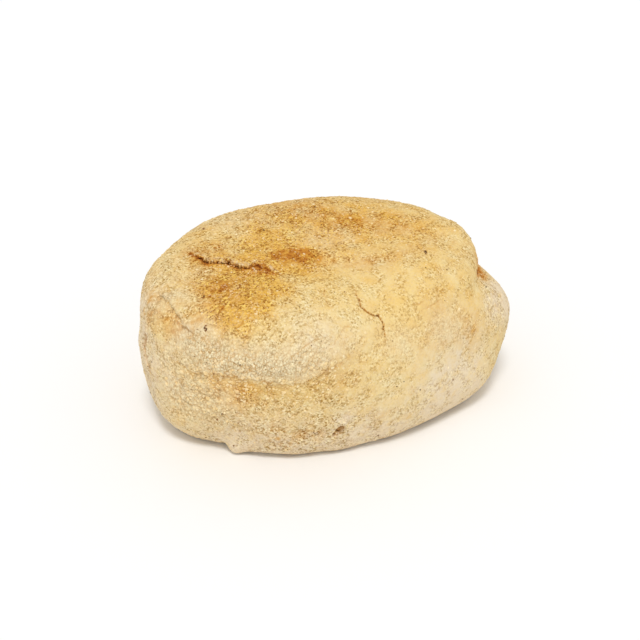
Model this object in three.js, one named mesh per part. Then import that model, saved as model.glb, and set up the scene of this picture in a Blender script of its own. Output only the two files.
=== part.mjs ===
// A sourdough bun: one piece of floury dough, folded over itself and baked on a flat stone.
// Millimetres, +Z up, origin at the centre of the underside, long axis along X.
// A bearing is an angle round +Z, counted from +X towards +Y, and an elevation an angle above the
// level of the waist. Both are seen from the heart of the bun, in degrees.
import * as THREE from 'three';

// Driving dimensions of the plain body, before its folds and swellings
const LENGTH = 116; // along X, end to end
const WIDTH = 83; // along Y
const HEIGHT = 52.5; // stone to crown
const WAIST = 24; // height of the widest level
const SOLE_DEPTH = 34; // reach of the round body below its waist, had no stone flattened it

// How square the body is: 2 gives an ellipse, and more gives blunter corners.
const LEFT_PLAN = 2; // seen from above, at the left end
const RIGHT_PLAN = 2.6; // and at the right end
const CROWN_FRONT = 2.45; // seen from the side, down the long front slope
const CROWN_BACK = 4.7; // down the back
const CROWN_END = 6.9; // and down either end
const SOLE_EDGE = 2.85; // in the turn under the waist

const COLUMNS = 108; // facets round the bun
const ROWS = 38; // facets from the crown to the middle of the sole
const SEAM_ROW = 21; // the row of facets that follows the seam
const CROWDING_ABOVE = 1.25; // how much the rows above the seam crowd towards it
const CROWDING_BELOW = 1.15;

const { degToRad, lerp, smoothstep } = THREE.MathUtils;
const turn = 360;
const heart = new THREE.Vector3(0, 0, WAIST);

// 1 at no distance, fading to almost nothing at twice the width.
const mound = (distance, width) => Math.exp(-((distance / width) ** 2));

// The unit vector from the heart towards a bearing and an elevation.
function direction(bearing, elevation) {
  const level = Math.cos(degToRad(elevation));
  const around = degToRad(bearing);
  return new THREE.Vector3(level * Math.cos(around), level * Math.sin(around), Math.sin(degToRad(elevation)));
}

// The plain body: a superellipsoid whose squareness changes from side to side.
function plainRadius(dir) {
  const plan = lerp(LEFT_PLAN, RIGHT_PLAN, (1 + dir.x) / 2);
  const across = lerp(CROWN_FRONT, CROWN_BACK, (1 + dir.y) / 2);
  const profile = dir.z > 0 ? lerp(across, CROWN_END, dir.x ** 2) : SOLE_EDGE;
  const rise = dir.z > 0 ? HEIGHT - WAIST : SOLE_DEPTH;
  const level = (Math.abs(dir.x) * 2 / LENGTH) ** plan + (Math.abs(dir.y) * 2 / WIDTH) ** plan;
  return (level ** (profile / plan) + (Math.abs(dir.z) / rise) ** profile) ** (-1 / profile);
}

// The seam where the dough was folded over. It runs all round the bun, open at the right end, where
// both lobes draw in to it, and nearly healed at the front. Each station is one step of 30 degrees
// from bearing 0: elevation in degrees, depth of the groove, and how far the lobes draw in to it.
// Where that is negative, the upper lobe hangs over the side instead.
const seam = new THREE.CatmullRomCurve3([
  new THREE.Vector3(16, 1.5, 6.5),
  new THREE.Vector3(15, 1.5, 4.5),
  new THREE.Vector3(15, 2, 2.5),
  new THREE.Vector3(18, 2, 1.5),
  new THREE.Vector3(19, 1.6, 1),
  new THREE.Vector3(16, 1, 0.3),
  new THREE.Vector3(9, 0.2, -0.2),
  new THREE.Vector3(12, 0.5, -1.4),
  new THREE.Vector3(14, 0.4, -1.3),
  new THREE.Vector3(21, 0, 0.3),
  new THREE.Vector3(22, 0.3, 2),
  new THREE.Vector3(18, 1.8, 6.5),
], true, 'catmullrom', 0.5);

const GROOVE_HALF_WIDTH = 3;
const STEP = [-3, 2]; // from here to there above the seam, the skin steps to the upper lobe
const LOWER_SHOULDER = [-15, 1]; // from here to there, the lower lobe draws in
const UPPER_WALL = [20, 48]; // between these elevations, the upper lobe is back at its full size

const seamAt = (bearing) => seam.getPoint((bearing / turn + 1) % 1);

function seamRise(bearing, elevation, radius) {
  const { x: height, y: depth, z: inset } = seamAt(bearing);
  const above = degToRad(elevation - height) * radius;
  const onUpper = smoothstep(above, ...STEP);
  const upper = inset * onUpper * (1 - smoothstep(elevation, ...UPPER_WALL));
  const lower = Math.max(inset, 0) * (1 - onUpper) * smoothstep(above, ...LOWER_SHOULDER);
  return -depth * mound(above, GROOVE_HALF_WIDTH) - upper - lower;
}

// The edge of the flap on the crown, seen from above. Behind it the dough stands proud as a lip,
// and in front of it the flap dips under that lip. Both fade towards the ends of the edge.
const flapEdge = new THREE.CatmullRomCurve3([
  new THREE.Vector3(-40, 16, 0),
  new THREE.Vector3(-33, 2, 0),
  new THREE.Vector3(-24, -7, 0),
  new THREE.Vector3(-10, -11, 0),
  new THREE.Vector3(2, -19, 0),
  new THREE.Vector3(22, -24, 0),
]).getSpacedPoints(60);
const flapLip = { rise: 0.9, behind: 7, width: 7 };
const flapDip = { rise: -1.5, behind: -1, width: 6 };

function flapRise(point) {
  if (point.z < WAIST) return 0;
  let nearest = Infinity;
  let station = 0;
  flapEdge.forEach((spot, i) => {
    const away = Math.hypot(point.x - spot.x, point.y - spot.y);
    if (away < nearest) [nearest, station] = [away, i];
  });
  const next = flapEdge[Math.min(station + 1, flapEdge.length - 1)];
  const last = flapEdge[Math.max(station - 1, 0)];
  const side = (next.x - last.x) * (point.y - last.y) - (next.y - last.y) * (point.x - last.x);
  const behind = Math.sign(side) * nearest;
  const fade = Math.sin(Math.PI * station / (flapEdge.length - 1));
  return [flapLip, flapDip].reduce((sum, f) => sum + fade * f.rise * mound(behind - f.behind, f.width), 0);
}

// Swellings, and hollows where the rise is negative. Each is round and sits at a place on the skin.
const swells = [
  { bearing: 128, elevation: 35, radius: 22, rise: 2.8 }, // high shoulder at the back left
  { bearing: 85, elevation: 45, radius: 22, rise: 3.5 }, // full back of the crown
  { bearing: 8, elevation: 38, radius: 14, rise: 3.2 }, // full right end of the upper lobe
  { bearing: 165, elevation: 0, radius: 22, rise: 3.2 }, // full left end
  { bearing: 205, elevation: -12, radius: 20, rise: -2 }, // flat side at the front left
  { bearing: 228, elevation: -38, radius: 20, rise: -3 }, // side tucked in over the stone
  { bearing: -15, elevation: -2, radius: 16, rise: 2.6 }, // nose of the lower lobe
  { bearing: 189, elevation: 18, radius: 6, rise: -1.3 }, // pressed facet at the left end
  { bearing: 180, elevation: 3, radius: 6, rise: 1 }, // tongue of the flap below it
];
for (const swell of swells) {
  const dir = direction(swell.bearing, swell.elevation);
  swell.centre = dir.multiplyScalar(plainRadius(dir)).add(heart);
}

const swellRise = (point) =>
  swells.reduce((sum, s) => sum + s.rise * mound(point.distanceTo(s.centre), s.radius), 0);

// The foot, where the dough spread over the stone at the front left: it starts and fades between
// these bearings, and ends between these heights.
const foot = { rise: 2.2, starts: [198, 204], fades: [205, 240], ends: [1, 8] };

const footRise = (bearing, height) =>
  foot.rise *
  smoothstep(bearing, ...foot.starts) *
  (1 - smoothstep(bearing, ...foot.fades)) *
  (1 - smoothstep(height, ...foot.ends));

// Slow unevenness of hand-shaped dough.
const UNEVENNESS = 0.4;
const lumps = ({ x, y, z }) =>
  UNEVENNESS * (Math.sin(x / 7 + 1) * Math.sin(y / 8) + Math.sin(x / 11 - y / 9 + z / 6));

function skin(bearing, elevation) {
  const dir = direction(bearing, elevation);
  const radius = plainRadius(dir);
  const point = dir.clone().multiplyScalar(radius).add(heart);
  const folds = seamRise(bearing, elevation, radius) + flapRise(point);
  const swelling = swellRise(point) + footRise(bearing, point.z) + lumps(point);
  return point.addScaledVector(dir, folds + swelling);
}

// The elevation at which the skin meets the stone, found by halving.
function rimElevation(bearing) {
  let below = -80;
  let above = -5;
  while (above - below > 1e-5) {
    const middle = (below + above) / 2;
    if (skin(bearing, middle).z > 0) above = middle;
    else below = middle;
  }
  return above;
}

// Rows crowd together towards the seam, and the last row but one is the rim of the flat sole.
function rowElevation(row, bearing) {
  const line = seamAt(bearing).x;
  if (row <= SEAM_ROW) return line + (90 - line) * ((SEAM_ROW - row) / SEAM_ROW) ** CROWDING_ABOVE;
  const down = ((row - SEAM_ROW) / (ROWS - 1 - SEAM_ROW)) ** CROWDING_BELOW;
  return lerp(line, rimElevation(bearing), down);
}

// A sphere's closed net of facets, with each corner moved to the skin.
const geometry = new THREE.SphereGeometry(1, COLUMNS, ROWS);
const position = geometry.getAttribute('position');
for (let row = 0; row <= ROWS; row++) {
  for (let column = 0; column <= COLUMNS; column++) {
    const bearing = (turn * (column % COLUMNS)) / COLUMNS;
    let point = new THREE.Vector3();
    if (row === 0) point = skin(0, 90);
    else if (row < ROWS) point = skin(bearing, rowElevation(row, bearing));
    if (row === ROWS - 1) point.z = 0;
    position.setXYZ(row * (COLUMNS + 1) + column, point.x, point.y, point.z);
  }
}
geometry.computeVertexNormals();
geometry.computeBoundingBox();
const middle = geometry.boundingBox.getCenter(new THREE.Vector3());
geometry.translate(-middle.x, -middle.y, 0);

const crust = new THREE.MeshStandardMaterial({ color: 0xe0c087, roughness: 0.9, metalness: 0 });
const bun = new THREE.Mesh(geometry, crust);
bun.name = 'bun';

const part = new THREE.Group();
part.add(bun);
export default part;
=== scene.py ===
# %% [markdown]
# # A sourdough bun
# One piece of slack dough, folded over itself, rolled in flour and coarse meal, and baked on a hot
# stone. The solid model already has its true size, its two lobes and its flat sole. This lesson
# gives it a baker's crust: the tears and creases of the fold, the grain of the meal, and the cream,
# gold and brown of the bake. Everything is in metres, so lengths below are written in MM.

import math

import bpy
import numpy as np
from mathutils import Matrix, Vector, noise


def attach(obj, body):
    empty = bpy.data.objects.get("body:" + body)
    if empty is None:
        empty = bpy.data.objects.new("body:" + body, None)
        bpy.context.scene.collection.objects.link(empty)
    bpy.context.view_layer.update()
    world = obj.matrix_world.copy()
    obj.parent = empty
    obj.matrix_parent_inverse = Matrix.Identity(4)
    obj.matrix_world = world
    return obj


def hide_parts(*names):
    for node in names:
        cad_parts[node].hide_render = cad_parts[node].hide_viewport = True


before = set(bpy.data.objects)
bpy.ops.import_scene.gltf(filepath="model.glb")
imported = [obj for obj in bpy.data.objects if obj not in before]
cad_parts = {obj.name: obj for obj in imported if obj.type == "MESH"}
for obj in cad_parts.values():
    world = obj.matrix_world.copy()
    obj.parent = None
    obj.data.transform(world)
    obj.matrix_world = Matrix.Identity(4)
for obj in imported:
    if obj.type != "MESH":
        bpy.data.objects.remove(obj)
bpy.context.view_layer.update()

MM = 0.001

# %% [markdown]
# ## Camera and studio
# Food is shown from a little above, with a long lens so that it keeps its proportions. The camera
# is placed by an angle round the bun, an angle above the table, and a distance.

# %% The camera
CAMERA_TURN = math.radians(-30.5)
CAMERA_RISE = math.radians(30)
CAMERA_DISTANCE = 480 * MM
CAMERA_LENS = 85

to_camera = Vector((
    math.sin(CAMERA_TURN) * math.cos(CAMERA_RISE),
    -math.cos(CAMERA_TURN) * math.cos(CAMERA_RISE),
    math.sin(CAMERA_RISE),
))
to_right = Vector((math.cos(CAMERA_TURN), math.sin(CAMERA_TURN), 0))
aim = Vector((0, 0, 25.6 * MM)) - to_right * 0.9 * MM  # near the middle of the bun
bpy.ops.object.camera_add(
    location=aim + to_camera * CAMERA_DISTANCE,
    rotation=(-to_camera).to_track_quat("-Z", "Y").to_euler(),
)
camera = bpy.context.object
camera.name = "camera"
camera.data.lens = CAMERA_LENS
camera.data.clip_start = 10 * MM
bpy.context.scene.camera = camera
print("camera at, mm:", [round(c / MM) for c in camera.location])


# %% [markdown]
# ## Writing a finish
# A finish is a small program: colours and numbers that change over the surface. Adding its nodes
# one by one is slow to read, so this class wraps a socket, and the signs + - * between wrapped
# sockets add the Math nodes.

# %% Numbers that change over a surface
class Amount:
    """A number that changes over a surface: one socket of a finish."""

    def __init__(self, finish, socket):
        self.finish = finish
        self.socket = socket

    def combine(self, operation, *others, clamp=False):
        settings = {"operation": operation, "use_clamp": clamp}
        return self.finish.node("Math", settings, inputs=[self, *others])

    def __add__(self, other):
        return self.combine("ADD", other)

    def __sub__(self, other):
        return self.combine("SUBTRACT", other)

    def __rsub__(self, other):
        return self.finish.node("Math", {"operation": "SUBTRACT"}, inputs=[other, self])

    def __mul__(self, other):
        return self.combine("MULTIPLY", other)

    __radd__ = __add__
    __rmul__ = __mul__

    def within(self, low, high):
        """0 at low and under, 1 at high and over, and smooth between them."""
        return self.finish.node(
            "MapRange", {"interpolation_type": "SMOOTHSTEP"}, inputs=[self, low, high, 0, 1]
        )

    def kept(self):
        """The same number, kept between 0 and 1."""
        return self.combine("ADD", 0, clamp=True)


# %% [markdown]
# A second class is the finish itself. One method makes any node from its type, settings and inputs,
# and a few more name what a baker's finish needs often: a number kept on the mesh, a grain, and one
# colour turned into another. All patterns read Object coordinates, so they are solid in the dough
# and don't stretch over it.

# %% A finish
class Finish:
    """A material whose nodes are made by short calls."""

    def __init__(self, name):
        self.material = bpy.data.materials.new(name)
        self.material.use_nodes = True
        self.tree = self.material.node_tree
        self.shader = self.tree.nodes["Principled BSDF"]
        self.place = self.node("TexCoord", output="Object")

    def node(self, kind, settings=None, inputs=(), output=0, **named):
        """Makes one node: its settings first, then the values or links of its sockets."""
        made = self.tree.nodes.new("ShaderNode" + kind)
        for name, value in (settings or {}).items():
            setattr(made, name, value)
        for key, value in [*enumerate(inputs), *named.items()]:
            self.join(value, made.inputs[key])
        return Amount(self, made.outputs[output])

    def join(self, value, socket):
        if isinstance(value, Amount):
            self.tree.links.new(value.socket, socket)
        else:
            socket.default_value = value

    def set(self, **sockets):
        for name, value in sockets.items():
            self.join(value, self.shader.inputs[name.replace("_", " ")])

    def measured(self, name):
        """A number that was stored on the mesh."""
        return self.node("Attribute", {"attribute_name": name}, output="Fac")

    def grain(self, size, detail=2, roughness=0.6):
        """Smooth noise from 0 to 1, with patches of this size."""
        return self.node(
            "TexNoise", Vector=self.place, Scale=1 / size, Detail=detail, Roughness=roughness
        )

    def blend(self, first, second, share, how="MIX"):
        """One colour turned into another by a share from 0 to 1."""
        made = self.tree.nodes.new("ShaderNodeMix")
        made.data_type = "RGBA"
        made.blend_type = how
        self.join(share, made.inputs[0])
        self.join(first, made.inputs[6])
        self.join(second, made.inputs[7])
        return Amount(self, made.outputs[2])


def paint(*chart):
    """A colour from a paint chart, 0 to 255 and none near black, as the light it throws back."""
    return (*[((shade / 255 + 0.055) / 1.055) ** 2.4 for shade in chart], 1)


# %% [markdown]
# The bun stands on a wide pale table. Nearly two thirds of the light comes from all around, as in a
# white tent. The rest is one far lamp behind the camera and above it, just hard enough to give each
# grain of meal its small shadow. A Sun lamp lights the whole table evenly. The view transform is the
# plain one, so that a cream crust comes out as the cream that was mixed.

# %% The studio
TABLE_SIZE = 8  # metres
SURROUND_LIGHT = 0.7
LAMP_LIGHT = 1.3  # watts for each square metre
LAMP_SPREAD = math.radians(14)

bpy.ops.mesh.primitive_plane_add(size=TABLE_SIZE)
table = bpy.context.object
table.name = "table"
table_top = Finish("pale table")
table_top.set(Base_Color=paint(250, 250, 250), Roughness=0.9)
table.data.materials.append(table_top.material)

studio = bpy.data.worlds.new("white tent")
studio.use_nodes = True
studio.node_tree.nodes["Background"].inputs["Color"].default_value = (1, 1, 1, 1)
studio.node_tree.nodes["Background"].inputs["Strength"].default_value = SURROUND_LIGHT
bpy.context.scene.world = studio

towards_lamp = (to_right * -0.02 + to_camera * 0.9 + Vector((0, 0, 1.15))).normalized()
bpy.ops.object.light_add(
    type="SUN",
    location=aim + towards_lamp,
    rotation=towards_lamp.to_track_quat("Z", "Y").to_euler(),
)
lamp = bpy.context.object
lamp.name = "lamp"
lamp.data.energy = LAMP_LIGHT
lamp.data.angle = LAMP_SPREAD
bpy.context.scene.view_settings.view_transform = "Standard"
print("table, white surround and one lamp")

# %% [markdown]
# ## The dough
# The solid bun is made of flat facets about 3 mm wide. Its mesh is copied and merged, its triangles
# are joined into four-sided faces, and Subdivision Surface rounds them. The faces are then longer
# in some places than in others, which would stretch the grain of the crust. So Remesh lays an even
# net of small squares over the same shape, and Smooth takes away the steps that it leaves.

# %% An even skin of dough
SKIN_STEP = 0.72 * MM


def alone(piece):
    """Selects one piece and nothing else."""
    bpy.ops.object.select_all(action="DESELECT")
    piece.select_set(True)
    bpy.context.view_layer.objects.active = piece


def finish_with(piece, kind, **settings):
    """Adds one modifier to a piece, sets it and applies it."""
    alone(piece)
    modifier = piece.modifiers.new(kind, kind)
    for name, value in settings.items():
        setattr(modifier, name, value)
    bpy.ops.object.modifier_apply(modifier=modifier.name)


crust = bpy.data.objects.new("crust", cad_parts["bun"].data.copy())
bpy.context.collection.objects.link(crust)
crust.data.materials.clear()
alone(crust)
bpy.ops.mesh.customdata_custom_splitnormals_clear()
bpy.ops.object.mode_set(mode="EDIT")
bpy.ops.mesh.select_all(action="SELECT")
bpy.ops.mesh.remove_doubles(threshold=0.001 * MM)
bpy.ops.mesh.tris_convert_to_quads()
bpy.ops.object.mode_set(mode="OBJECT")
finish_with(crust, "SUBSURF", levels=2, render_levels=2)
finish_with(crust, "REMESH", mode="VOXEL", voxel_size=SKIN_STEP)
finish_with(crust, "SMOOTH", factor=0.5, iterations=8)
print("skin of dough:", len(crust.data.polygons), "faces")

# %% [markdown]
# ## Finding a place on the crust
# As in the solid model, a place is named as it is seen from the heart of the bun: a bearing round
# it, counted from the right end towards the back, and an elevation above its waist, in degrees.
# A ray from the heart finds it on the crust. A line is a few such places joined by a smooth curve,
# and noise makes it as uneven as torn dough. The noise is given a seed, because without one it
# starts from the clock, and the dough would tear along other lines each time.

# %% Places and lines
HEART = Vector((0, 0, 24 * MM))
LINE_STEPS = 14  # from one station of a line to the next
JAG_LENGTH = 1.3 * MM
NOISE_SEED = 5
noise.seed_set(NOISE_SEED)


def spot(bearing, elevation):
    """The place on the crust at a bearing and an elevation."""
    around, up = math.radians(bearing), math.radians(elevation)
    way = Vector((math.cos(up) * math.cos(around), math.cos(up) * math.sin(around), math.sin(up)))
    _, place, _, _ = crust.ray_cast(HEART, way)
    return place


def line(stations, jag=0.0):
    """Points on the crust, on a smooth curve through a few stations. jag makes it uneven."""
    ends = np.array([stations[0], *stations, stations[-1]], float)
    curve = []
    for a, b, c, d in zip(ends, ends[1:], ends[2:], ends[3:]):
        for t in np.arange(0, 1, 1 / LINE_STEPS):
            bend = (2 * a - 5 * b + 4 * c - d) * t**2 + (3 * b - 3 * c + d - a) * t**3
            curve.append((2 * b + (c - a) * t + bend) / 2)
    places = [spot(*where) for where in [*curve, ends[-1]]]
    return np.array([place + jag * noise.noise_vector(place / JAG_LENGTH) for place in places])


print("the crown is", round(spot(0, 90).z / MM, 1), "mm high")


# %% [markdown]
# For every point of the crust we can then ask how far it is from a place or a line, on which side
# of the line, and how far along it. Mounds and ramps turn those distances into soft weights.
# NumPy works them out for all the points at once, where a loop over them would take minutes.

# %% Distances and soft edges
def skin():
    """Where every point of the crust is, and which way it faces."""
    places = np.empty(len(crust.data.vertices) * 3)
    facing = np.empty_like(places)
    crust.data.vertices.foreach_get("co", places)
    crust.data.vertex_normals.foreach_get("vector", facing)
    return places.reshape(-1, 3), facing.reshape(-1, 3)


def mound(distance, reach):
    """1 at no distance, fading to almost nothing at twice the reach."""
    return np.exp(-((distance / reach) ** 2))


def ramp(value, start, end):
    """0 before the start, 1 after the end, and smooth between them."""
    share = np.clip((value - start) / (end - start), 0, 1)
    return share * share * (3 - 2 * share)


def fading(share, start=0.15, end=0.15):
    """1 along the middle of a line, fading to 0 at its two ends."""
    return ramp(share, 0, start) * (1 - ramp(share, 1 - end, 1))


def round_spot(places, bearing, elevation, reach):
    """A round mound about one place."""
    return mound(np.linalg.norm(places - np.array(spot(bearing, elevation)), axis=1), reach)


def beside(places, facing, curve):
    """For every point: its distance from a line, above it or below it, and the share of the way."""
    nearest = np.full(len(places), np.inf)
    station = np.zeros(len(places), int)
    for i, stop in enumerate(curve):
        away = np.linalg.norm(places - stop, axis=1)
        closer = away < nearest
        nearest[closer] = away[closer]
        station[closer] = i
    onward = np.gradient(curve, axis=0)[station]
    leftward = np.cross(facing, onward)
    side = np.sign(np.einsum("ij,ij->i", leftward, places - curve[station]))
    return nearest * side, station / (len(curve) - 1)


def about(curve):
    """The same, for the crust as it is now."""
    return beside(*skin(), curve)


print("points of the crust:", len(skin()[0]))


# %% [markdown]
# ## Folds and tears
# Dough that is folded over keeps a loose edge, which tears and curls as it bakes. Each form below is
# pressed into the skin or raised from it as a sculptor would, by a Displace modifier that acts
# through a vertex group. The group holds the form of the stroke, and the strength its depth.

# %% A sculptor's stroke
LIGHTEST = 0.003  # a weight below this leaves no mark


def press(weights, rise, direction="NORMAL", texture=None, middle=0.0):
    """Moves the crust by a rise, where the weights say and as far as they say."""
    group = crust.vertex_groups.new(name="stroke")
    for i in np.flatnonzero(weights > LIGHTEST):
        group.add([int(i)], float(weights[i]), "REPLACE")
    finish_with(
        crust, "DISPLACE", vertex_group="stroke", strength=rise, mid_level=middle,
        direction=direction, texture=texture, texture_coords="LOCAL",
    )
    crust.vertex_groups.remove(crust.vertex_groups["stroke"])


# %% [markdown]
# Broad forms come first: swellings and hollows that give the two lobes their full, uneven outline.

# %% Broad forms
BROAD_FORMS = [  # bearing, elevation, reach and rise
    (8, 38, 12 * MM, 0.4 * MM),  # full far shoulder at the right
    (-8, 28, 7 * MM, 1.8 * MM),  # and its end over the seam
    (-9, 33, 8 * MM, 0.9 * MM),
    (60, 58, 12 * MM, -0.2 * MM),
    (128, 42, 14 * MM, 0.3 * MM),
    (163, 26, 9 * MM, 0.7 * MM),  # full left end
    (-27, 2, 9 * MM, 1.6 * MM),  # nose of the lower lobe
    (-14, 11, 6 * MM, -0.4 * MM),
    (171, 6, 5 * MM, 0.9 * MM),
    (173, 14, 7 * MM, 0.4 * MM),
    (171, -7, 5 * MM, -2.2 * MM),  # drawn in under the tongue
    (186, -16, 8 * MM, 0.8 * MM),
    (203, -14, 12 * MM, -0.8 * MM),  # flat low side at the left
    (-114, -30, 8 * MM, 1.5 * MM),  # the sole spreads at the front
    (-131, -28, 6 * MM, 0.9 * MM),
    (-88, -27, 10 * MM, 0.6 * MM),
    (-60, -22, 12 * MM, 0.4 * MM),
    (-42, -14, 10 * MM, 1.5 * MM),
    (-42, 22, 6 * MM, 0.8 * MM),  # the fold closes at the front right
]
places, _ = skin()
for bearing, elevation, reach, rise in BROAD_FORMS:
    press(round_spot(places, bearing, elevation, reach), rise)
print("broad forms:", len(BROAD_FORMS))

# %% [markdown]
# A shallow valley crosses the crown where the flap of dough ends. One stroke sinks it, and a second
# raises the side of the flap, so that it reads as an edge and not as a dent.

# %% The valley over the crown
VALLEY = [(178, 53), (185, 59), (192, 66), (215, 72), (250, 71), (290, 62), (318, 49), (330, 40)]
VALLEY_DEPTH = 0.8 * MM
FLAP_RISE = 0.35 * MM

valley = line(VALLEY, 1 * MM)
across, share = about(valley)
press(mound(across, 3.5 * MM) * fading(share), -VALLEY_DEPTH)
press(ramp(across, -1 * MM, 1 * MM) * mound(across, 3 * MM) * fading(share), FLAP_RISE)
print("valley,", len(valley), "steps long")

# %% [markdown]
# The finest lines need a finer net, so the skin is subdivided along them first. One is the long
# tear at the left of the crown, and two are the folded edges at the left end. The others are thin
# cracks where the dry skin of the slope opened, and the wrinkles at the front end of the fold. The
# shoulder of the fold, the left side, the toasted patch under the tear and the torn slot near the
# stone are subdivided too, because their crust is the roughest.

# %% A finer net along the thin lines
TEAR = [(152, 33), (161, 36), (168, 38), (173, 43), (181, 45), (186, 50), (197, 51), (208, 49)]
WRINKLES = [  # stations, depth
    ([(262, 46), (261, 39), (261, 36), (265, 32), (269, 30), (269, 26), (268, 19)], 0.75 * MM),
    ([(240, 45), (241, 41), (243, 37)], 0.3 * MM),
    ([(287, 30), (291, 29), (295, 29)], 0.35 * MM),
    ([(290, 26), (297, 26), (302, 26)], 0.35 * MM),
    ([(210, 24), (211, 29), (214, 32), (223, 29)], 0.4 * MM),
    ([(205, 33), (212, 38), (219, 41), (228, 36)], 0.3 * MM),
    ([(228, 18), (232, 22), (238, 26)], 0.35 * MM),
    ([(243, 22), (247, 27), (252, 30)], 0.35 * MM),
    ([(278, -3), (280, -6), (283, -8)], 0.35 * MM),
]
PRESSED_EDGE = [(175, 24), (181, 25), (186, 24), (192, 22), (198, 20)]
TONGUE = [(177, 12), (175, 8), (176, 5), (178, 2), (178, -1)]
SHOULDER = [
    (176, 24), (186, 22), (195, 20), (205, 15), (217, 15), (230, 16), (240, 22), (256, 24), (275, 24),
]
ROUGH_PLACES = [(205, 2, 17 * MM), (-160, 36, 10 * MM), (-113, -16, 4.5 * MM)]

thin = [line(stations) for stations in [TEAR, PRESSED_EDGE, TONGUE]]
thin += [line(stations) for stations, depth in WRINKLES]
shoulder = line(SHOULDER, 1 * MM)
places, facing = skin()
rough = np.abs(beside(places, facing, shoulder)[0]) < 6 * MM
for bearing, elevation, reach in ROUGH_PLACES:
    rough |= round_spot(places, bearing, elevation, reach) > 0.4
for curve in thin:
    rough |= np.abs(beside(places, facing, curve)[0]) < 1.6 * MM
alone(crust)
crust.data.edges.foreach_set("select", np.zeros(len(crust.data.edges), bool))
crust.data.polygons.foreach_set("select", np.zeros(len(crust.data.polygons), bool))
crust.data.vertices.foreach_set("select", rough)
bpy.ops.object.mode_set(mode="EDIT")
bpy.ops.mesh.select_mode(type="VERT")
bpy.ops.mesh.subdivide(number_cuts=1)
bpy.ops.object.mode_set(mode="OBJECT")
print("skin with its finer net:", len(crust.data.polygons), "faces")

# %% [markdown]
# The upper edge of the tear is a lip of dough that hangs over a dark gap. The line is jagged, as torn
# dough is. The lip swells, the gap is pressed in, and then the lip is drawn forward over it. The
# form of the gap is kept before it is pressed, because its painted shade, and the scorch beside it,
# are laid on later by the same form.

# %% The torn lip
LIP_RISE = 1.0 * MM
GAP_DEPTH = 0.85 * MM
OVERHANG = 0.7 * MM

tear = line(TEAR, 0.7 * MM)
across, share = about(tear)
above = ramp(across, -0.4 * MM, 0.5 * MM)
press(above * mound(across, 5 * MM) * fading(share, 0.3, 0.5), LIP_RISE)
across, share = about(tear)
torn = mound(across + 0.2 * MM, 0.3 * MM) * fading(share, 0.3, 0.4)
scorched = mound(across + 0.5 * MM, 1.0 * MM) * fading(share)
press(torn, -GAP_DEPTH)
across, share = about(tear)
above = ramp(across, -0.2 * MM, 0.3 * MM)
press(above * mound(across, 1.4 * MM) * fading(share, 0.2, 0.5), -OVERHANG, direction="Y")
print("torn lip,", len(tear), "steps long")

# %% [markdown]
# The cracks and wrinkles are hairlines where the skin dried first. Each is one narrow stroke along
# a jagged line, as deep as its own entry says.

# %% Cracks and wrinkles
WRINKLE_JAG = 0.6 * MM
WRINKLE_WIDTH = 0.26 * MM

for stations, depth in WRINKLES:
    across, share = about(line(stations, WRINKLE_JAG))
    press(mound(across, WRINKLE_WIDTH) * fading(share), -depth)
print(len(WRINKLES), "cracks and wrinkles")

# %% [markdown]
# The shoulder at the front left is a roll of floury dough that hangs over the side, with a soft
# crease under it. The roll is raised above the crease and the crease is sunk, and what lies under
# it is kept as a form of its own, because it took less flour.

# %% The hanging shoulder
CREASE = [(188, 11), (197, 9), (207, 10), (218, 10), (229, 9), (236, 11), (243, 15), (252, 19)]
ROLL_RISE = 0.5 * MM
CREASE_DEPTH = 0.2 * MM

across, share = about(shoulder)
press(mound(across, 4 * MM) * fading(share, 0.1, 0.4), 0.1 * MM)
crease = line(CREASE, 1.1 * MM)
across, share = about(crease)
fade = fading(share, 0.15, 0.4)
press(ramp(across, -0.2 * MM, 0.5 * MM) * mound(across, 1.6 * MM) * fade, ROLL_RISE)
press(mound(across, 0.4 * MM) * fade, -CREASE_DEPTH)
press(mound(across - 1 * MM, 4 * MM) * fading(share), ROLL_RISE)
under_shoulder = ramp(-across, -0.2 * MM, 0.4 * MM) * mound(across, 5 * MM) * fading(share, 0.1, 0.6)
print("shoulder and its crease,", len(crease), "steps long")

# %% [markdown]
# At the left end the roll was pressed flat, which left a facet with a raised rim, and a tongue of
# dough folds under below it.

# %% The pressed end and its tongue
FACET_DEPTH = 1.2 * MM
RIM_RISE = 0.5 * MM
TONGUE_DEPTH = 2.0 * MM

pressed_edge = line(PRESSED_EDGE, 0.6 * MM)
across, share = about(pressed_edge)
fade = fading(share, 0.2, 0.2)
press(ramp(-across, -0.1 * MM, 0.6 * MM) * mound(across, 5 * MM) * fade, -FACET_DEPTH)
press(mound(across - 0.5 * MM, 0.7 * MM) * fade, RIM_RISE)
across, share = about(line(TONGUE))
tucked = mound(across, 0.7 * MM) * fading(share, 0.2, 0.2)
press(tucked, -TONGUE_DEPTH)
print("pressed end and tongue")

# %% [markdown]
# Where the fold is open at the right end and along the back, the lobes meet in a tight seam.

# %% The seam
SEAM = [(-32, 20), (-22, 18), (-10, 17), (5, 16), (30, 15), (60, 15), (90, 18), (120, 19), (148, 17)]
SEAM_DEPTH = 1.3 * MM

seam = line(SEAM, 0.4 * MM)
across, share = about(seam)
folded = mound(across, 0.8 * MM) * fading(share, 0.1, 0.2)
press(folded, -SEAM_DEPTH)
print("seam,", len(seam), "steps long")
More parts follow.
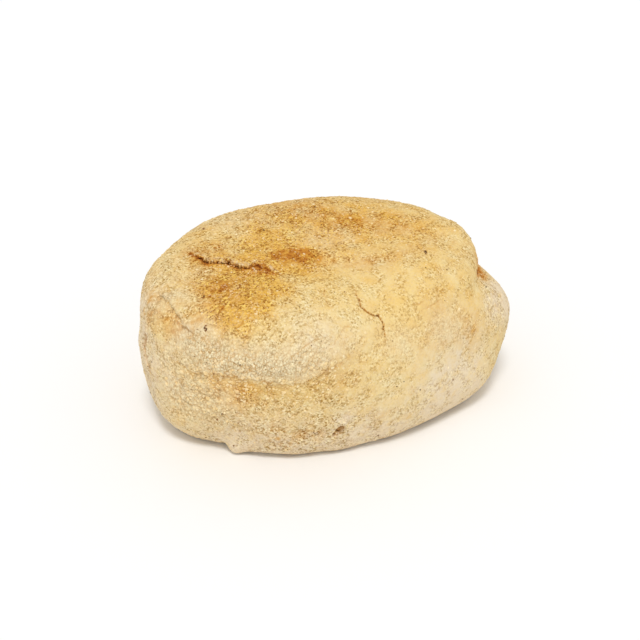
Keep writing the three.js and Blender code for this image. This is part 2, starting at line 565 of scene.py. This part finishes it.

# %% [markdown]
# Near the stone the dough dried in small dents, and it tore once, in a slot with a loose crumb above
# it. A foot of dough spread over the stone at the left. The deep dents are kept as a form too, and
# the finish paints shade into them, since light hardly reaches into them.

# %% Dents near the sole
DENTS = [  # bearing, elevation, reach and rise
    (-147, -14, 1.2 * MM, -0.5 * MM),
    (-138, -12, 1.6 * MM, -0.6 * MM),
    (-129, -16, 1.8 * MM, -1.0 * MM),
    (-121, -18, 1.5 * MM, -1.0 * MM),
    (-112.5, -17, 0.9 * MM, -1.7 * MM),  # the slot, from its top
    (-114, -18.5, 0.8 * MM, -1.7 * MM),
    (-115.3, -20, 0.7 * MM, -1.5 * MM),
    (-112, -13, 1.3 * MM, 1.3 * MM),  # the crumb above it
    (-96, -17, 1.0 * MM, -0.5 * MM),
    (-71, -18, 1.0 * MM, -0.5 * MM),
    (-160, -10, 2.0 * MM, -0.5 * MM),
    (199, -25, 1.5 * MM, -0.6 * MM),  # where the foot starts
    (204, -26, 2.6 * MM, 1.3 * MM),
]
SHALLOW = 0.8  # a dent of this many mm stays as light as the skin round it

hollow_shade = 0
for bearing, elevation, reach, rise in DENTS:
    places, _ = skin()
    dent = round_spot(places, bearing, elevation, reach)
    hollow_shade = hollow_shade + dent * max(-rise / MM - SHALLOW, 0)
    press(dent, rise)
print(len(DENTS), "dents and crumbs")

# %% [markdown]
# ## The grain of the crust
# Coarse meal stuck to the wet dough makes a granular skin. It is coarsest along the left side and
# under the tear, and smoothest on the front slope, on the pressed facet and low at the right. Two
# numbers say so for every point: coarse drives the shape, and grit the fine grain: the bump of the
# kernels and their painted shade and highlights. Each starts from an even value, and round patches
# and soft noise add to it or take from it.

# %% Where the crust is rough
COARSE = [  # bearing, elevation, reach in mm, amount
    (200, 5, 22, 0.3), (225, -2, 14, 0.2), (-165, 38, 12, 0.3), (130, 55, 25, 0.2),
    (-95, 42, 24, -0.3), (-60, -8, 24, -0.35), (192, 25, 6, -0.6), (184, 20, 4, -0.5),
]
GRIT = [
    (-170, 42, 20, 0.4), (90, 60, 26, 0.2), (-125, -20, 12, 0.5),
    (-60, 5, 30, -0.3), (-95, 42, 24, -0.15), (192, 25, 6, -0.1),
]
PRESSED_FLAT = [(192, 25, 6 * MM), (185, 20, 5 * MM)]  # the facet at the left end


def patches(places, table, start=0):
    """A number for every point, built up from round patches."""
    for bearing, elevation, reach, amount in table:
        start = start + amount * round_spot(places, bearing, elevation, reach * MM)
    return start


def cloudy(places, size):
    """Soft noise about 0, with patches of this size."""
    return np.array([noise.noise(Vector(place)) for place in places / size])


before, outward = skin()
off_sole = ramp(before[:, 2], 0.8 * MM, 3 * MM)
across, share = about(shoulder)
on_shoulder = mound(across, 5.5 * MM) * fading(share, 0.1, 0.5)
for bearing, elevation, reach in PRESSED_FLAT:
    on_shoulder *= 1 - round_spot(before, bearing, elevation, reach)
coarse = patches(before, COARSE, 0.4 - 0.3 * on_shoulder) + 0.3 * cloudy(before, 5 * MM)
coarse = np.clip(coarse, 0.08, 1)
grit = patches(before, GRIT, 0.3) + 0.6 * ramp(cloudy(before, 4 * MM), -0.3, 0.15)
grit = np.clip(grit, 0.1, 1.3)
print("mean coarse", round(float(coarse.mean()), 2), "grit", round(float(grit.mean()), 2))


# %% [markdown]
# Two procedural textures drive the relief, one of soft lumps and one of round grains. A Displace
# modifier reads each of them, and the number coarse says how strongly. A Voronoi texture grows
# from the middle of each cell to its edge, so its stroke goes inwards, and the middles are left
# standing as grains.

# %% Lumps and grains
LUMP_HEIGHT = 0.9 * MM
GRAIN_HEIGHT = 0.6 * MM


def pattern(name, kind, **settings):
    """A procedural texture for a Displace modifier."""
    made = bpy.data.textures.new(name, kind)
    for key, value in settings.items():
        setattr(made, key, value)
    return made


lumps = pattern("lumps", "CLOUDS", noise_scale=2.0 * MM, noise_depth=1)
kernels = pattern("kernels", "VORONOI", noise_scale=1.4 * MM)
press(off_sole * coarse, LUMP_HEIGHT, texture=lumps, middle=0.5)
press(off_sole * coarse, -GRAIN_HEIGHT, texture=kernels, middle=0.4)
print("lumps and grains pressed")

# %% [markdown]
# On the floury shoulder, and in a few more places, the skin dried and broke into flakes of two
# sizes that curl up at one side. Cells of noise.voronoi give each flake its outline and its tilt,
# and creases are pressed in between. Whatever was pushed down through the stone is then brought
# back up to it, which keeps the sole flat. The whole relief is measured at the end, because the
# finish paints shade into the pits, darker than what stands proud.

# %% Flakes and creases
FLAKED = [  # bearing, elevation, reach in mm, amount
    (195, -1, 11, 0.8), (-85, 17, 6, 0.5), (-62, 15, 7, 0.4),
]
SMALL_FLAKE = 1.15 * MM
WIDE_FLAKE = 3.2 * MM
SMALL_CURL = 0.55 * MM
WIDE_CURL = 0.8 * MM
GAP_BETWEEN_FLAKES = 0.3 * MM


def flaky(places, size):
    """Flakes of about this size: 1 in the creases between them, and how each flake curls up."""
    gaps, curls = [], []
    for place in places / size * (1, 1, 0.7):
        bent = Vector(place) + 0.45 * noise.noise_vector(Vector(place * 1.4))
        away, centres = noise.voronoi(bent)
        gaps.append(away[1] - away[0])
        curls.append(noise.noise_vector(centres[0] * 5).dot(bent - centres[0]))
    return 1 - ramp(np.array(gaps), 0.0, 0.16), np.array(curls)


in_flakes = off_sole * np.clip(patches(before, FLAKED, on_shoulder), 0, 1)
between, curls = flaky(before, SMALL_FLAKE)
wide_gaps, wide_curls = flaky(before, WIDE_FLAKE)
press(in_flakes * np.clip(0.5 + curls, 0, 1), SMALL_CURL)
press(in_flakes * np.clip(0.5 + 0.5 * wide_curls, 0, 1), WIDE_CURL)
between = np.maximum(0.7 * between, wide_gaps)
dried = in_flakes + 0.4 * coarse * ramp(cloudy(before, 3 * MM), -0.3, 0.1)
creases = between * np.clip(dried, 0, 1)
press(creases, -GAP_BETWEEN_FLAKES)
places, _ = skin()
press(np.clip(-places[:, 2] / MM, 0, 1), 1 * MM, direction="Z")
places, _ = skin()
relief = np.einsum("ij,ij->i", places - before, outward)
print("relief from", round(relief.min() / MM, 2), "to", round(relief.max() / MM, 2), "mm")

# %% [markdown]
# ## The bake
# Cream where the flour lay thick, yellow where the meal toasted, and orange-brown in the valleys and
# tears that faced the heat. Each is one number for every point of the crust, and the finish turns
# the three numbers into colour. They start as round patches of uneven strength, named by their
# places as the forms were. A negative amount takes away what the others put there.

# %% Patches of toast, gold and flour
TOAST = [  # bearing, elevation, reach in mm, amount
    (-176, 62, 4, 0.45), (-166, 67, 4, 0.4), (-150, 70, 4, 0.3), (-140, 72, 4, 0.22),
    (-172, 41, 9, 0.22), (-170, 49, 3, 0.5), (-169, 35, 2, 0.8), (-160, 30, 1.2, 0.6),
    (-160, 33, 7, 0.3), (-153, 65, 8, 0.2), (-173, 33, 7, 0.25), (168, 57, 5, 0.1),
    (166, 22, 5, 0.1), (-172, 49, 4, 0.3), (50, 66, 8, 0.28), (28, 63, 8, 0.28),
    (8, 54, 8, 0.28), (-8, 47, 6, 0.2), (100, 55, 12, 0.15), (160, 38, 7, 0.3),
    (180, 34, 6, 0.15), (-62, 57, 7, 0.15), (172, 18, 6, 0.15), (177, 20, 5.5, 0.4),
    (185, 20, 5, 0.26), (190, 18.5, 3, 0.3), (196, 24, 7, 0.35), (194, 22, 5, 0.12),
    (-158, 7, 4, 0.35), (-150, 4, 5, 0.25), (-152, 1, 5, 0.2), (-140, 6, 7, 0.04),
    (-116, 11, 8, 0.2), (-64, 17, 8, 0.28), (-50, 9, 6, 0.28), (-22, 18, 4.5, 1.1),
    (-13, 17, 5, 0.45), (-2, 16, 6, 0.3), (150, 18, 8, 0.3), (156, 42, 1.8, 0.5),
    (75, 55, 9, 0.3), (130, 30, 10, 0.15), (95, 28, 9, 0.3), (120, 8, 8, 0.2),
    (35, 32, 8, 0.25), (-16, 42, 10, 0.15), (-140, -12, 4, 0.3), (-126, -18, 4, 0.3),
    (-112, -20, 3, 0.15), (-134, -22, 4, 0.3), (-122, -18, 2, 0.2), (-138, -19, 2.5, 0.4),
    (-99, -16, 3, 0.2), (-152, -8, 3, 0.2), (-163, -14, 3, 0.15),
]
GOLD = [
    (-153, 64, 8, 0.8), (-173, 34, 6, 0.5), (-148, 33, 5, 0.6), (150, 52, 9, 0.25),
    (0, 80, 9, 0.5), (-130, 70, 7, 0.4), (130, 60, 8, 0.7), (166, 62, 6, 0.5),
    (-150, 42, 6, 0.8), (-165, 40, 12, 0.8), (170, 40, 9, 0.6), (-160, 29, 6, 0.5),
    (-178, 53, 6, 0.5), (110, 62, 14, 0.3), (-147, 27, 4.5, 0.8), (-158, 27, 6, 0.35),
    (-150, 5, 9, 0.6), (186, 19, 4, 0.4), (90, 35, 14, 0.5), (60, 15, 12, 0.3),
    (-100, 50, 16, 0.15), (-55, 33, 12, 0.2), (30, 55, 18, 0.6), (145, 38, 8, 0.4),
    (-155, 10, 9, 0.3), (-120, 12, 10, 0.2), (-80, 18, 10, 0.2), (-45, 12, 10, 0.25),
    (-15, 42, 12, 0.4),
]
FLOUR = [
    (-125, 27, 8, 0.3), (-13, 86, 8, 0.3), (172, 12, 14, 0.9), (192, 4, 9, 0.5),
    (183, 20, 5.5, -1.6), (-20, 17, 3, -1.8), (-78, 24, 6, -0.35), (-58, -10, 16, 0.9),
    (-150, -20, 16, 0.6), (-100, -25, 16, 0.5), (110, -5, 18, 0.5), (50, 0, 14, 0.4),
    (70, 35, 8, 0.3), (-24, 5, 9, 0.9), (-28, 9, 6, 0.8), (-36, 10, 5, 0.5),
    (172, -8, 11, 1.0), (-112, -12, 2.5, 1.0), (-125, -17, 9, 0.2), (-105, -22, 8, 0.2),
    (120, 45, 12, 0.2),
]
places, facing = skin()
patched = {"toast": patches(places, TOAST), "gold": patches(places, GOLD), "flour": patches(places, FLOUR)}
print("patches:", len(TOAST), "of toast,", len(GOLD), "of gold and", len(FLOUR), "of flour")

# %% [markdown]
# The folds and tears have a bake of their own, laid along the same lines that shaped them. Their
# edges scorch, their flour is wiped into ridges beside them, and the gaps themselves go into a
# fourth number, which holds the creases and the painted shade that the finish lays in them. A fine
# crack gets only a little painted shade, so its share grows with the square of its depth.

# %% Along the folds and tears
def stripe(curve, reach, amount, shift=0.0):
    """A soft stripe along a line. A shift moves it to the upper side, or to the lower one below 0."""
    across, share = beside(places, facing, curve)
    return amount * mound(across - shift, reach) * fading(share)


sole = 1 - ramp(places[:, 2], 0.2 * MM, 1.6 * MM)
low_side = ramp(-places[:, 2], -14 * MM, -2 * MM)
toast = 0.06 + patched["toast"] + stripe(valley, 2.5 * MM, 0.25) + 0.45 * sole
toast += 0.5 * scorched + stripe(tear, 2.5 * MM, 0.12, -1.5 * MM)
toast += stripe(seam, 1.2 * MM, 0.4)
# The tongue's groove is browned partly by toast and partly as painted shade.
toast += 0.35 * tucked
toast += 0.06 * under_shoulder
gold = 0.15 + patched["gold"] + 0.2 * under_shoulder
flour = 0.08 + patched["flour"] + 0.75 * on_shoulder + 0.5 * low_side - 0.5 * under_shoulder
flour += stripe(pressed_edge, 0.5 * MM, 0.3, 0.5 * MM) + stripe(tear, 0.6 * MM, 0.5, 1.0 * MM)

# Painted shade, kept with the creases: between the flakes, in the cracks, the tear, the tongue's groove,
# the deep dents and the seam, and shadow lines under the shoulder's roll and the facet's rim.
creases *= 0.35
for stations, depth in WRINKLES:
    creases += stripe(line(stations, WRINKLE_JAG), 0.25 * MM, 3.5 * (depth / MM) ** 2)
creases += 1.5 * torn + 0.9 * tucked + 1.2 * hollow_shade + 0.5 * folded
creases += stripe(crease, 0.4 * MM, 0.6, -0.4 * MM) + stripe(pressed_edge, 0.35 * MM, 0.25, -0.4 * MM)
print("mean toast", round(float(toast.mean()), 2), "gold", round(float(gold.mean()), 2))

# %% [markdown]
# No patch of a real bake has an even edge, so soft noise of several sizes mottles all three
# numbers. They are then kept on the mesh as attributes, with those that describe its form, and the
# finish reads them there.

# %% The bake, kept on the mesh
mottle = 0.5 * cloudy(places, 3.5 * MM) + 0.7 * cloudy(places, 1.3 * MM)
uneven_gold = gold * (1 - 0.7 * cloudy(places, 6 * MM)) + 0.25 * cloudy(places, 3 * MM)
bake = {
    "toast": np.clip(toast * (1 + mottle) + 0.06 * mottle, 0, 1.6),
    "gold": np.clip(uneven_gold, 0, 1),
    "flour": np.clip(flour * (1 - mottle), 0, 1),
}
form = {
    "relief": np.clip(0.5 + relief / (0.8 * MM), 0, 1),
    "coarse": coarse,
    "grit": grit,
    "flakes": in_flakes,
    "creases": creases,
}


def store(piece, name, values):
    """Keeps one number for every point of a piece."""
    made = piece.data.attributes.new(name, "FLOAT", "POINT")
    made.data.foreach_set("value", np.asarray(values, np.float32))


for name, values in {**bake, **form}.items():
    store(crust, name, values)
print("kept on the mesh:", ", ".join([*bake, *form]))


# %% [markdown]
# ## The finish
# The colour of baked dough goes from cream through gold to brown as the numbers say, and flour
# covers it where it isn't toasted. Noise breaks up every step, so that no edge is drawn. Voronoi
# cells of half a millimetre stand for kernels of meal baked into the skin: each has a tone of its
# own, the darkest are painted with the shade of pits between kernels, and the palest with a painted
# highlight. The painted shade of a pit is a warm, light brown and not grey, because the light in it
# has already met the crust once.

# %% The colour of the bake
CREAM = paint(240, 218, 157)
GOLDEN = paint(234, 184, 76)
BROWN = paint(206, 140, 52)
DEEP = paint(176, 104, 36)
DUSTY = paint(236, 217, 186)
# Pale flour for the flakes, and also the painted highlight of the palest kernels, golden on gold crust.
PALE_FLOUR_AND_HIGHLIGHT = paint(255, 242, 202)
GOLDEN_HIGHLIGHT = paint(255, 218, 116)
# Painted shade of a pit: paler on pale crust, warmer on toasted crust.
PIT_SHADE_PALE = paint(208, 192, 160)
PIT_SHADE_WARM = paint(200, 175, 124)
KERNEL = 0.5 * MM


def pit_shaded(finish, colour, share):
    """A colour darkened by painted shade, as it looks in a pit, by a share from 0 to 1."""
    warm = (finish.measured("gold") + finish.measured("toast")).kept()
    return finish.blend(colour, finish.blend(PIT_SHADE_PALE, PIT_SHADE_WARM, warm), share, "MULTIPLY")


def baked_colour(finish, grit, shade_and_highlight):
    """The colour of baked dough, from the numbers on the mesh. grit is its fine unevenness, and the last
    number says how strongly the kernels get painted pit shade and painted highlights.
    """
    speckle = finish.grain(0.6 * MM, detail=3, roughness=0.7) - 0.5
    toast = finish.measured("toast")
    toast = toast + speckle * (grit + toast * 0.8)
    gold = (finish.measured("gold") - speckle * grit).kept()
    flour = (finish.measured("flour") + speckle * grit * 1.5).kept()
    colour = finish.blend(CREAM, GOLDEN, gold)
    colour = finish.blend(colour, BROWN, toast.kept())
    colour = finish.blend(colour, DEEP, toast.within(0.8, 1.5) * 0.5)
    colour = finish.blend(colour, DUSTY, flour * (1 - toast.within(0.3, 0.8)))
    kernels = finish.node("TexVoronoi", output="Color", Vector=finish.place, Scale=1 / KERNEL)
    tone = finish.node("SeparateColor", inputs=[kernels])
    # The darkest kernels get painted pit shade, and the palest a painted highlight.
    colour = pit_shaded(finish, colour, (1 - tone.within(0.1, 0.4)) * shade_and_highlight)
    pale = tone.within(0.65, 0.95) * (1 - toast.within(0.5, 1.0))
    return finish.blend(colour, finish.blend(PALE_FLOUR_AND_HIGHLIGHT, GOLDEN_HIGHLIGHT, gold), pale * shade_and_highlight * 0.8)


baked = Finish("baked crust")
colour = baked_colour(baked, 0.6, baked.measured("grit"))
print("colour of the bake:", len(baked.tree.nodes), "nodes")


# %% [markdown]
# Over that colour come pale flakes, painted shade along the crinkles of dry skin, in the low
# places and between the kernels, and dark painted shade in the tears, dents and seams, each where its
# number says. A crust is matt and hardly shines, and a Bump node adds the kernels and crinkles that
# are finer than the mesh.

# %% The crust's finish
# Dark painted shade for tears and deep dents, and lighter painted shade for crinkles and creases.
GAP_SHADE = paint(108, 74, 38)
LINE_SHADE = paint(216, 178, 126)
CELL = 0.8 * MM


def crinkles(finish, size, upright=1.0):
    """1 along thin lines that wander between cells of this size, and 0 elsewhere."""
    wander = finish.node("TexNoise", output="Color", Vector=finish.place, Scale=1 / (0.8 * size))
    sway = (0.9 * size,) * 3
    bent = finish.node("VectorMath", {"operation": "MULTIPLY_ADD"}, inputs=[wander, sway, finish.place])
    flat = (1, 1, 1 / upright)
    tall = finish.node("VectorMath", {"operation": "MULTIPLY"}, inputs=[bent, flat])
    edge = finish.node("TexVoronoi", {"feature": "DISTANCE_TO_EDGE"}, Vector=tall, Scale=1 / size)
    return 1 - edge.within(0.02, 0.15)


coarse_here = baked.measured("coarse")
grit_here = baked.measured("grit")
flakes_here = baked.measured("flakes")
crease_shade_here = baked.measured("creases")
cell = baked.node("TexVoronoi", Vector=baked.place, Scale=1 / CELL)
# Painted shade between the kernels, and in the low places of the relief.
kernel_gap_shade = cell.within(0.5, 0.8) * (grit_here * 0.4)
low = (1 - baked.measured("relief").within(0.15, 0.5)) * coarse_here * 0.15
flake_line = crinkles(baked, 0.9 * MM, upright=1.6) * flakes_here
crinkle = crinkles(baked, 1.4 * MM) * baked.grain(2.2 * MM).within(0.4, 0.6) * coarse_here + flake_line
colour = baked.blend(colour, PALE_FLOUR_AND_HIGHLIGHT, flakes_here * 0.85)
# Painted shade along the crinkles and in the creases.
colour = baked.blend(colour, LINE_SHADE, (crinkle * 0.5 + crease_shade_here * 1.2).kept(), "MULTIPLY")
colour = pit_shaded(baked, colour, (low + kernel_gap_shade).kept())
# Dark painted shade in the tears, deep dents, grooves and deepest cracks.
colour = baked.blend(colour, GAP_SHADE, crease_shade_here.within(0.5, 1.5))
kernel = baked.node("TexVoronoi", Vector=baked.place, Scale=1 / KERNEL)
height = (kernel * -0.5 - cell * 0.5) * grit_here - crinkle * 0.25
bump = baked.node("Bump", Strength=1.0, Distance=0.4 * MM, Height=height)
baked.set(Base_Color=colour, Roughness=0.92, Normal=bump)
baked.shader.inputs["Specular IOR Level"].default_value = 0.2
crust.data.materials.append(baked.material)
alone(crust)
bpy.ops.object.shade_smooth()
print("crust finish:", len(baked.tree.nodes), "nodes")


# %% [markdown]
# ## Loose meal
# The coarse meal itself lies in and on the crust: grains of broken wheat and maize about half a
# millimetre to a millimetre across. One grain is modelled from a simple solid, squashed and knocked
# uneven. Large grains start as a coarse ball of twenty faces, and the finest as two pyramids base
# to base, eight faces in all, because there are so many.

# %% One grain
def model_grain(faces, seed):
    """A small broken grain, 1 unit long, of 20 or 8 faces."""
    if faces == 20:
        bpy.ops.mesh.primitive_ico_sphere_add(subdivisions=1, radius=0.5)
    else:
        bpy.ops.mesh.primitive_cone_add(vertices=4, radius1=0.5, depth=0.5, end_fill_type="TRIFAN")
        corners = bpy.context.object.data.vertices
        middle_of_base = [v for v in corners if v.co.z < 0 and v.co.xy.length < 0.1]
        middle_of_base[0].co.z -= 0.25  # drawn down into the point of a second pyramid
    grain = bpy.context.object
    bpy.ops.object.mode_set(mode="EDIT")
    bpy.ops.mesh.select_all(action="SELECT")
    bpy.ops.transform.vertex_random(offset=0.1, seed=seed)
    bpy.ops.transform.resize(value=(1, 0.8, 0.65))
    bpy.ops.object.mode_set(mode="OBJECT")
    corners = np.array([tuple(v.co) for v in grain.data.vertices])
    corner_of_face = np.array([tuple(f.vertices) for f in grain.data.polygons])
    bpy.data.objects.remove(grain)
    return corners, corner_of_face


crust.data.calc_loop_triangles()
triangles = np.empty(len(crust.data.loop_triangles) * 3, np.int32)
crust.data.loop_triangles.foreach_get("vertices", triangles)
triangles = triangles.reshape(-1, 3)
print("triangles to strew meal on:", len(triangles))


# %% [markdown]
# The one grain is then strewn over the crust. Copying objects would be slow for so many, so the
# copies are worked out as arrays and joined in one mesh for each kind. A triangle of the crust is
# drawn by its area and its chance, and a place in it by three shares. The grain is laid flat there,
# turned at random, and sunk a little. It takes the bake of its place along, and a tone of its own.

# %% Strewing grains
places, facing = skin()


def scatter(name, chance, count, faces, sizes, seed, sunk=0.0):
    """One piece of many grains. chance says how likely a grain is at each point of the crust."""
    rng = np.random.default_rng(seed)
    a, b, c = places[triangles[:, 0]], places[triangles[:, 1]], places[triangles[:, 2]]
    area = np.linalg.norm(np.cross(b - a, c - a), axis=1) * chance[triangles].mean(axis=1)
    chosen = triangles[rng.choice(len(triangles), count, p=area / area.sum())]
    corner = -np.log(rng.random((count, 3)))
    corner /= corner.sum(axis=1, keepdims=True)
    seat = np.einsum("ni,nij->nj", corner, places[chosen])
    up = np.einsum("ni,nij->nj", corner, facing[chosen])
    up /= np.linalg.norm(up, axis=1, keepdims=True)
    along = np.cross(up, rng.normal(size=(count, 3)))
    along /= np.linalg.norm(along, axis=1, keepdims=True)
    aside = np.cross(up, along)
    size = sizes[0] + (sizes[1] - sizes[0]) * rng.random(count) ** 2
    corners, corner_of_face = model_grain(faces, seed)
    seat = seat - up * (sunk * size)[:, None]
    axes = np.stack([along, aside, up], axis=1) * size[:, None, None]
    points = seat[:, None, :] + np.einsum("ki,nij->nkj", corners, axes)
    points = points.reshape(-1, 3)
    points[:, 2] = np.maximum(points[:, 2], 0)
    shifted = corner_of_face[None, :, :] + (np.arange(count) * len(corners))[:, None, None]
    mesh = bpy.data.meshes.new(name)
    mesh.from_pydata(points.tolist(), [], shifted.reshape(-1, 3).tolist())
    piece = bpy.data.objects.new(name, mesh)
    bpy.context.collection.objects.link(piece)
    for key, values in bake.items():
        store(piece, key, np.repeat((corner * values[chosen]).sum(axis=1), len(corners)))
    store(piece, "tone", np.repeat(rng.random(count), len(corners)))
    alone(piece)
    bpy.ops.object.shade_smooth()
    print(name, len(mesh.polygons), "faces")
    return piece


# %% [markdown]
# Six kinds are strewn: coarse and fine meal where the crust is coarse, toasted meal where it is
# browned, crumbs of flour where it is dusty, flakes under the shoulder, and bran. All stay off the
# sole and out of the tears and seams. Bran lies anywhere, and a few bits of it stuck together and
# burned: the dark specks of the crust.

# %% Where each kind of meal lies
SPECKS = [  # where bran burned: bearing, elevation and amount
    (-160, 23, 4), (-36, 41, 1), (161, 78, 1), (-170, 30, 0.5), (136, 37, 1), (167, 29, 0.6),
    (131, 58, 1), (-124, -17, 1), (-156, -7, 1), (60, 50, 1), (20, 10, 1), (100, 5, 1), (75, 30, 1),
]
SPECK_REACH = 0.35  # mm
SPECK_CHANCE = 1200  # times as likely as elsewhere
CRUMBLY = [  # bearing, elevation, reach in mm, amount
    (-150, 8, 8, 1.2), (195, 0, 9, 1), (-125, 8, 8, 0.6),
]

clear_of_sole = ramp(places[:, 2], 0.5 * MM, 2 * MM) * (1 - 0.9 * np.clip(creases, 0, 1))
clear_of_sole *= 1 - np.clip(2 * torn, 0, 1)
gritty = clear_of_sole * coarse
patchy = np.clip(0.5 + 1.5 * cloudy(places, 3 * MM), 0.05, 2)
browned = np.clip(bake["toast"], 0, 1)
toasted = clear_of_sole * (0.1 + browned) * patchy
crumbly = patches(places, CRUMBLY) + under_shoulder + stripe(crease, 0.8 * MM, 1.5, 0.6 * MM)
dusted = clear_of_sole * (0.05 + bake["flour"] + 0.5 * crumbly) * (1 - 0.9 * browned)
flaking = clear_of_sole * (crumbly + 0.1 * coarse)
burnt = patches(places, [(b, e, SPECK_REACH, SPECK_CHANCE * amount) for b, e, amount in SPECKS])

coarse_meal = scatter(
    "coarse_meal", gritty * patchy, 9900, faces=20, sizes=(0.5 * MM, 1.1 * MM), seed=1, sunk=0.15
)
fine_meal = scatter(
    "fine_meal", gritty + 0.1 * clear_of_sole, 24000, faces=8, sizes=(0.4 * MM, 0.8 * MM), seed=2, sunk=0.1
)
toasted_meal = scatter(
    "toasted_meal", toasted, 18000, faces=8, sizes=(0.4 * MM, 0.9 * MM), seed=3, sunk=0.1
)
flour_crumbs = scatter(
    "flour_crumbs", dusted, 18000, faces=8, sizes=(0.3 * MM, 1.0 * MM), seed=4, sunk=0.1
)
crust_flakes = scatter(
    "crust_flakes", flaking, 1200, faces=20, sizes=(0.7 * MM, 1.6 * MM), seed=6, sunk=0.15
)
bran = scatter("bran", clear_of_sole + burnt, 180, faces=20, sizes=(0.3 * MM, 0.85 * MM), seed=7)

# %% [markdown]
# Each kind of grain takes the bake of the crust around it and adds a colour of its own, paler or
# darker from grain to grain.

# %% Finishes of the meal
MEAL = [  # piece, palest and darkest colour, and the share of its own colour
    (coarse_meal, paint(255, 240, 204), paint(214, 172, 104), 0.4),
    (fine_meal, paint(255, 238, 190), paint(184, 132, 66), 0.5),
    (toasted_meal, paint(255, 210, 112), paint(172, 100, 32), 0.55),
    (flour_crumbs, paint(255, 244, 220), paint(240, 216, 172), 0.7),
    (crust_flakes, paint(255, 238, 196), paint(244, 212, 150), 0.7),
    (bran, paint(150, 96, 46), paint(60, 36, 18), 0.9),
]


def meal_finish(name, light, dark, own):
    """The finish of one kind of grain."""
    finish = Finish(name)
    own_colour = finish.blend(dark, light, finish.measured("tone"))
    # The bake brings its painted pit shade and painted highlights along, at a small share.
    colour = finish.blend(baked_colour(finish, 0.4, 0.3), own_colour, own)
    finish.set(Base_Color=colour, Roughness=0.85)
    finish.shader.inputs["Specular IOR Level"].default_value = 0.3
    return finish.material


for piece, light, dark, own in MEAL:
    piece.data.materials.append(meal_finish(piece.name.replace("_", " "), light, dark, own))
print("finishes of the meal:", len(MEAL))

# %% [markdown]
# ## Into the frame
# Every piece rides on the one body, and the crust stands in for the solid bun.

# %% Pieces on the body
for piece in [crust, coarse_meal, fine_meal, toasted_meal, flour_crumbs, crust_flakes, bran]:
    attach(piece, "root")
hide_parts("bun")
